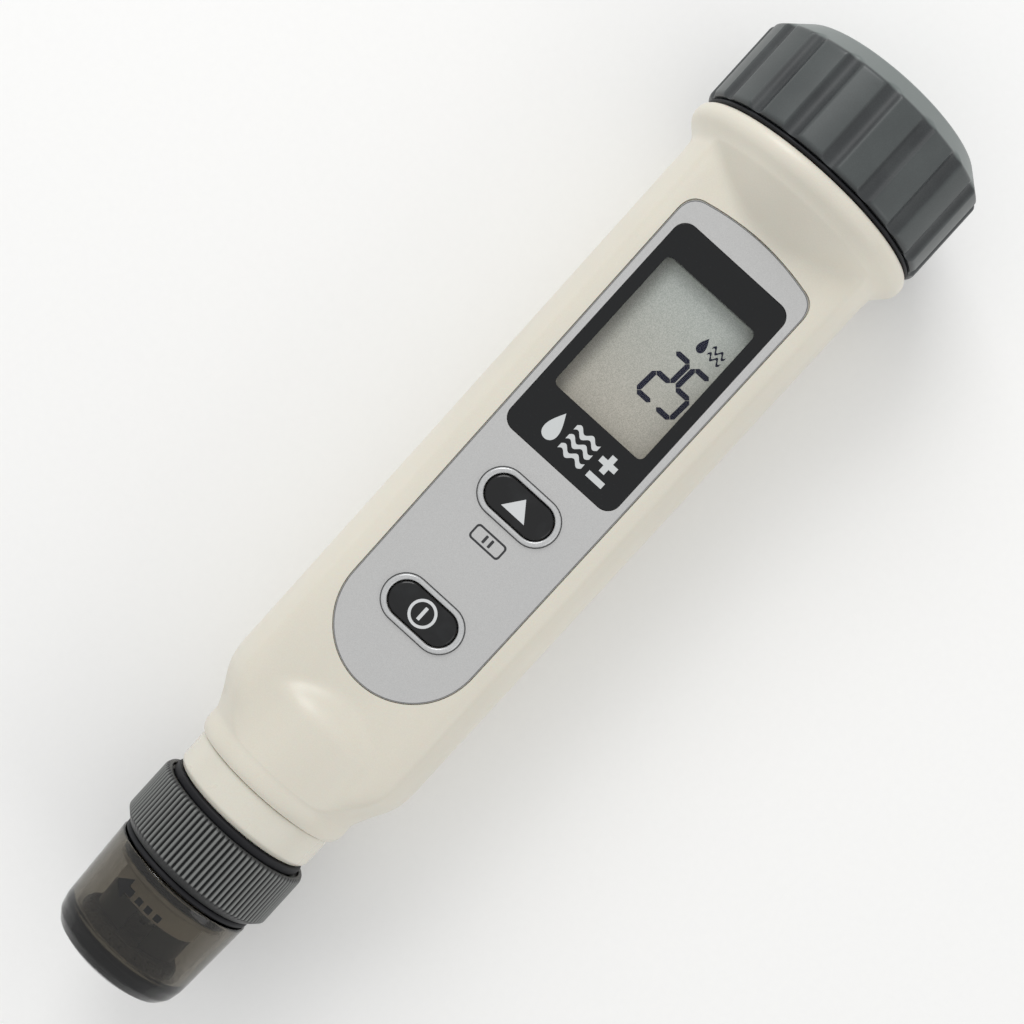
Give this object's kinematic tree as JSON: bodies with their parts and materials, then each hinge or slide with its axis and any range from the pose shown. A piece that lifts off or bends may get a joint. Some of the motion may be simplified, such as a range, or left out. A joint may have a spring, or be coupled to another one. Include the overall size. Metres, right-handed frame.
{
  "type": "digital water tester",
  "caption": "Pen-shaped digital water tester: display and keys on a flat, fluted battery cap, screwed probe collar and smoked push-on storage cap.",
  "frame": {"origin": "under the middle of the pen's length, level with the lowest point of the flared rim, with the pen lying on its back", "axes": "+Y along the pen from the storage cap to the battery cap, +Z out of the display, +X to the display's right"},
  "size_m": [0.0462, 0.1956, 0.0462],
  "materials": {
    "ivory_shell": "fine matt moulded ABS",
    "neck_ivory": "smooth satin moulded ABS, a little whiter than the housing",
    "cap_grey": "satin moulded ABS",
    "collar_grey": "satin moulded ABS",
    "seal_rubber": "smooth black nitrile rubber",
    "panel_silver": "satin silver printed film",
    "key_black": "gloss black",
    "display_lens": "clear acrylic, printed black round the window",
    "lcd_glass": "grey-green liquid crystal cell with a reflective back",
    "frame_white": "plain white ABS",
    "zebra_rubber": "banded conductive silicone",
    "board_green": "green solder mask over glass fibre",
    "moulded_black": "matt black",
    "bright_steel": "nickel-plated, fine brushed",
    "contact_gold": "gold-plated",
    "probe_black": "satin black moulded body",
    "sensor_glass": "clear glass",
    "sensor_platinum": "bright platinum",
    "junction_white": "porous white ceramic",
    "smoked_clear": "smoked transparent, gloss",
    "sponge_grey": "open-celled foam",
    "lead_red": "PVC insulation",
    "lead_black": "PVC insulation"
  },
  "bodies": {
    "housing_body": {"housing": "ivory_shell", "face_panel": "panel_silver", "display_lens": "display_lens", "lcd_glass": "lcd_glass", "lcd_frame": "frame_white", "zebra_strip_upper": "zebra_rubber", "zebra_strip_lower": "zebra_rubber", "hold_bezel": "panel_silver", "power_bezel": "panel_silver", "hold_switch": "bright_steel", "power_switch": "bright_steel", "inner_chassis": "frame_white", "main_board": "board_green", "controller_chip": "moulded_black", "board_screw_lower": "bright_steel", "board_screw_upper": "bright_steel", "battery_lead_red": "lead_red", "battery_lead_black": "lead_black", "battery_carrier": "moulded_black", "battery_contact_lower": "bright_steel", "button_cell_1": "bright_steel", "button_cell_2": "bright_steel", "button_cell_3": "bright_steel", "button_cell_4": "bright_steel", "battery_cap_seal": "seal_rubber", "neck_sleeve": "neck_ivory", "collar_seal": "seal_rubber", "probe_socket": "moulded_black"},
    "cap_contact": {"battery_contact_disc": "bright_steel", "battery_spring": "bright_steel"},
    "battery_cap": {"battery_cap": "cap_grey"},
    "hold_key": {"hold_button": "key_black", "hold_switch_plunger": "moulded_black"},
    "power_key": {"power_button": "key_black", "power_switch_plunger": "moulded_black"},
    "probe": {"probe_body": "probe_black", "probe_seal": "seal_rubber", "sensor_glass": "sensor_glass", "sensor_pin": "sensor_platinum", "reference_junction": "junction_white", "probe_pin_left": "contact_gold", "probe_pin_right": "contact_gold"},
    "collar": {"probe_collar": "collar_grey"},
    "cap_seal": {"storage_cap_seal": "seal_rubber"},
    "storage_cap": {"storage_cap": "smoked_clear", "storage_sponge": "sponge_grey"}
  },
  "joints": [
    {"name": "battery_cap_lift", "type": "slide", "parent": "housing_body", "child": "cap_contact", "axis": [0, 1, 0], "range_m": [0, 0.0075]},
    {"name": "battery_cap_turn", "type": "hinge", "parent": "cap_contact", "child": "battery_cap", "pos_m": [0, 0, 0.02308], "axis": [0, 1, 0], "range_deg": [0, 901]},
    {"name": "hold_press", "type": "slide", "parent": "housing_body", "child": "hold_key", "axis": [0, 0, -1], "range_m": [0, 0.0005], "stiffness_N_per_m": 800},
    {"name": "power_press", "type": "slide", "parent": "housing_body", "child": "power_key", "axis": [0, 0, -1], "range_m": [0, 0.0005], "stiffness_N_per_m": 800},
    {"name": "probe_release", "type": "slide", "parent": "housing_body", "child": "probe", "axis": [0, -1, 0], "range_m": [0, 0.00625]},
    {"name": "collar_turn", "type": "hinge", "parent": "probe", "child": "collar", "pos_m": [0, 0, 0.02308], "axis": [0, -1, 0], "range_deg": [0, 901]},
    {"name": "storage_cap_pull", "type": "slide", "parent": "probe", "child": "cap_seal", "axis": [0, -1, 0], "range_m": [0, 0.03]},
    {"name": "storage_cap_turn", "type": "hinge", "parent": "cap_seal", "child": "storage_cap", "pos_m": [0, 0, 0.02308], "axis": [0, -1, 0], "continuous": true}
  ],
  "couplings": [
    {"joint": "battery_cap_turn", "follows": "battery_cap_lift", "rad_per_m": 2094.4},
    {"joint": "collar_turn", "follows": "probe_release", "rad_per_m": 2513.3}
  ]
}
